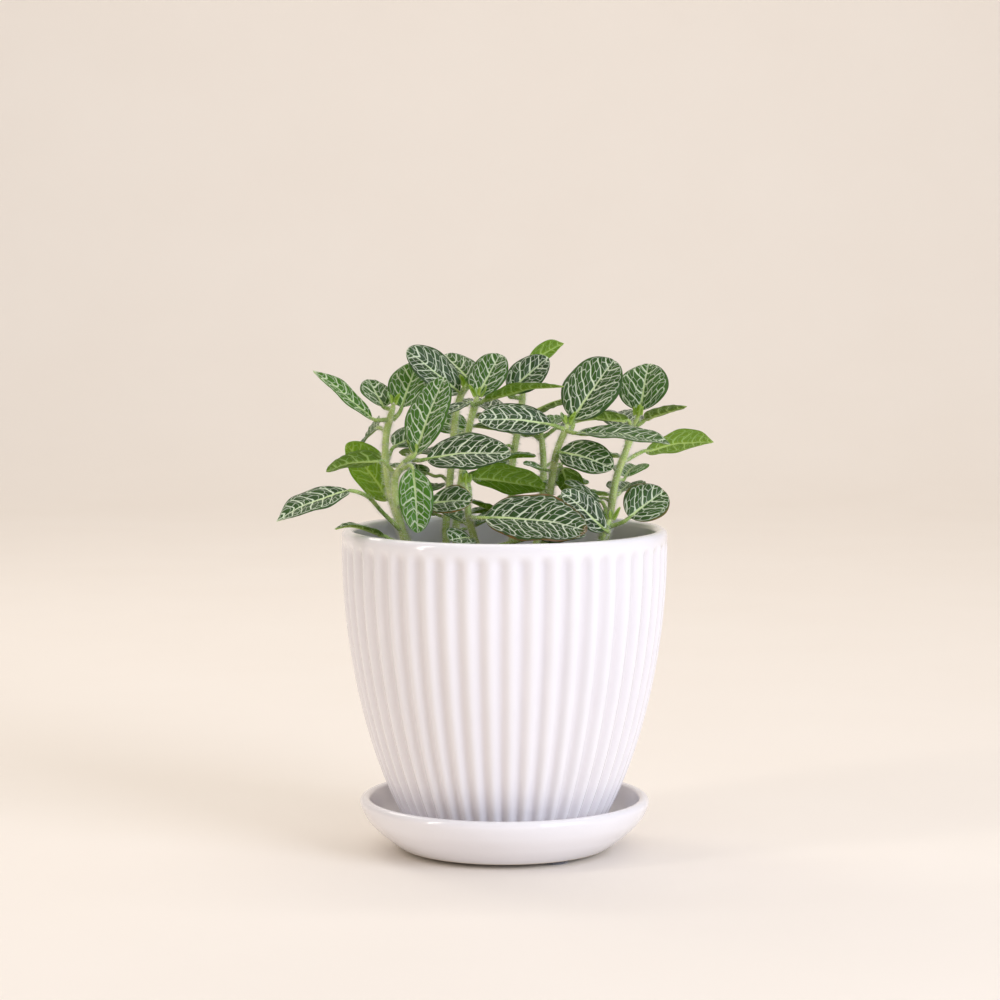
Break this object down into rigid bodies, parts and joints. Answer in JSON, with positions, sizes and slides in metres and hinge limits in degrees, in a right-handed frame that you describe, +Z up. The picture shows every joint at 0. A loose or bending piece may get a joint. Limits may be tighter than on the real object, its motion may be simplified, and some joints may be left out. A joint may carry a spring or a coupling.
{
  "type": "potted nerve plant",
  "caption": "Bushy nerve plant with white-veined green leaves, growing in a ribbed round white glazed pot that stands in its matching saucer on felt pads.",
  "frame": {"origin": "on the surface that the object stands on, under the axis of the pot", "axes": "+Z up along the pot's axis, -Y towards the front, +X to the right seen from the front"},
  "size_m": [0.1609, 0.12, 0.1882],
  "materials": {
    "white_glaze": "gloss",
    "grey_felt": "matte",
    "peat_soil": "matte",
    "hairy_stem": "satin",
    "veined_leaf": "satin"
  },
  "bodies": {
    "root": {"felt_pad_1": "grey_felt", "felt_pad_2": "grey_felt", "felt_pad_3": "grey_felt", "leaf_back_left": "veined_leaf", "leaf_back_side": "veined_leaf", "leaf_back_top": "veined_leaf", "leaf_back_up": "veined_leaf", "leaf_far_back_left": "veined_leaf", "leaf_far_back_low": "veined_leaf", "leaf_far_back_right": "veined_leaf", "leaf_front_back": "veined_leaf", "leaf_front_left": "veined_leaf", "leaf_front_low": "veined_leaf", "leaf_front_right": "veined_leaf", "leaf_left_back": "veined_leaf", "leaf_left_front_far": "veined_leaf", "leaf_left_front_hanging": "veined_leaf", "leaf_left_front_low": "veined_leaf", "leaf_left_front_right": "veined_leaf", "leaf_left_front_rim": "veined_leaf", "leaf_left_front_side": "veined_leaf", "leaf_left_front_upright": "veined_leaf", "leaf_left_inner": "veined_leaf", "leaf_left_inner_low": "veined_leaf", "leaf_left_outer": "veined_leaf", "leaf_left_shade": "veined_leaf", "leaf_left_upright": "veined_leaf", "leaf_middle_back_left": "veined_leaf", "leaf_middle_back_low": "veined_leaf", "leaf_middle_back_up": "veined_leaf", "leaf_middle_left": "veined_leaf", "leaf_middle_right": "veined_leaf", "leaf_middle_upright": "veined_leaf", "leaf_right_back": "veined_leaf", "leaf_right_far": "veined_leaf", "leaf_right_front_hanging": "veined_leaf", "leaf_right_front_left": "veined_leaf", "leaf_right_front_low": "veined_leaf", "leaf_right_front_right": "veined_leaf", "leaf_right_front_upright": "veined_leaf", "leaf_right_inner": "veined_leaf", "leaf_right_low": "veined_leaf", "leaf_right_low_left": "veined_leaf", "leaf_right_low_right": "veined_leaf", "leaf_right_low_up": "veined_leaf", "leaf_right_outer": "veined_leaf", "leaf_right_upright": "veined_leaf", "pot": "white_glaze", "saucer": "white_glaze", "soil": "peat_soil", "stem_back": "hairy_stem", "stem_far_back": "hairy_stem", "stem_front": "hairy_stem", "stem_left": "hairy_stem", "stem_left_front": "hairy_stem", "stem_middle": "hairy_stem", "stem_middle_back": "hairy_stem", "stem_right": "hairy_stem", "stem_right_front": "hairy_stem", "stem_right_low": "hairy_stem"}
  },
  "joints": []
}
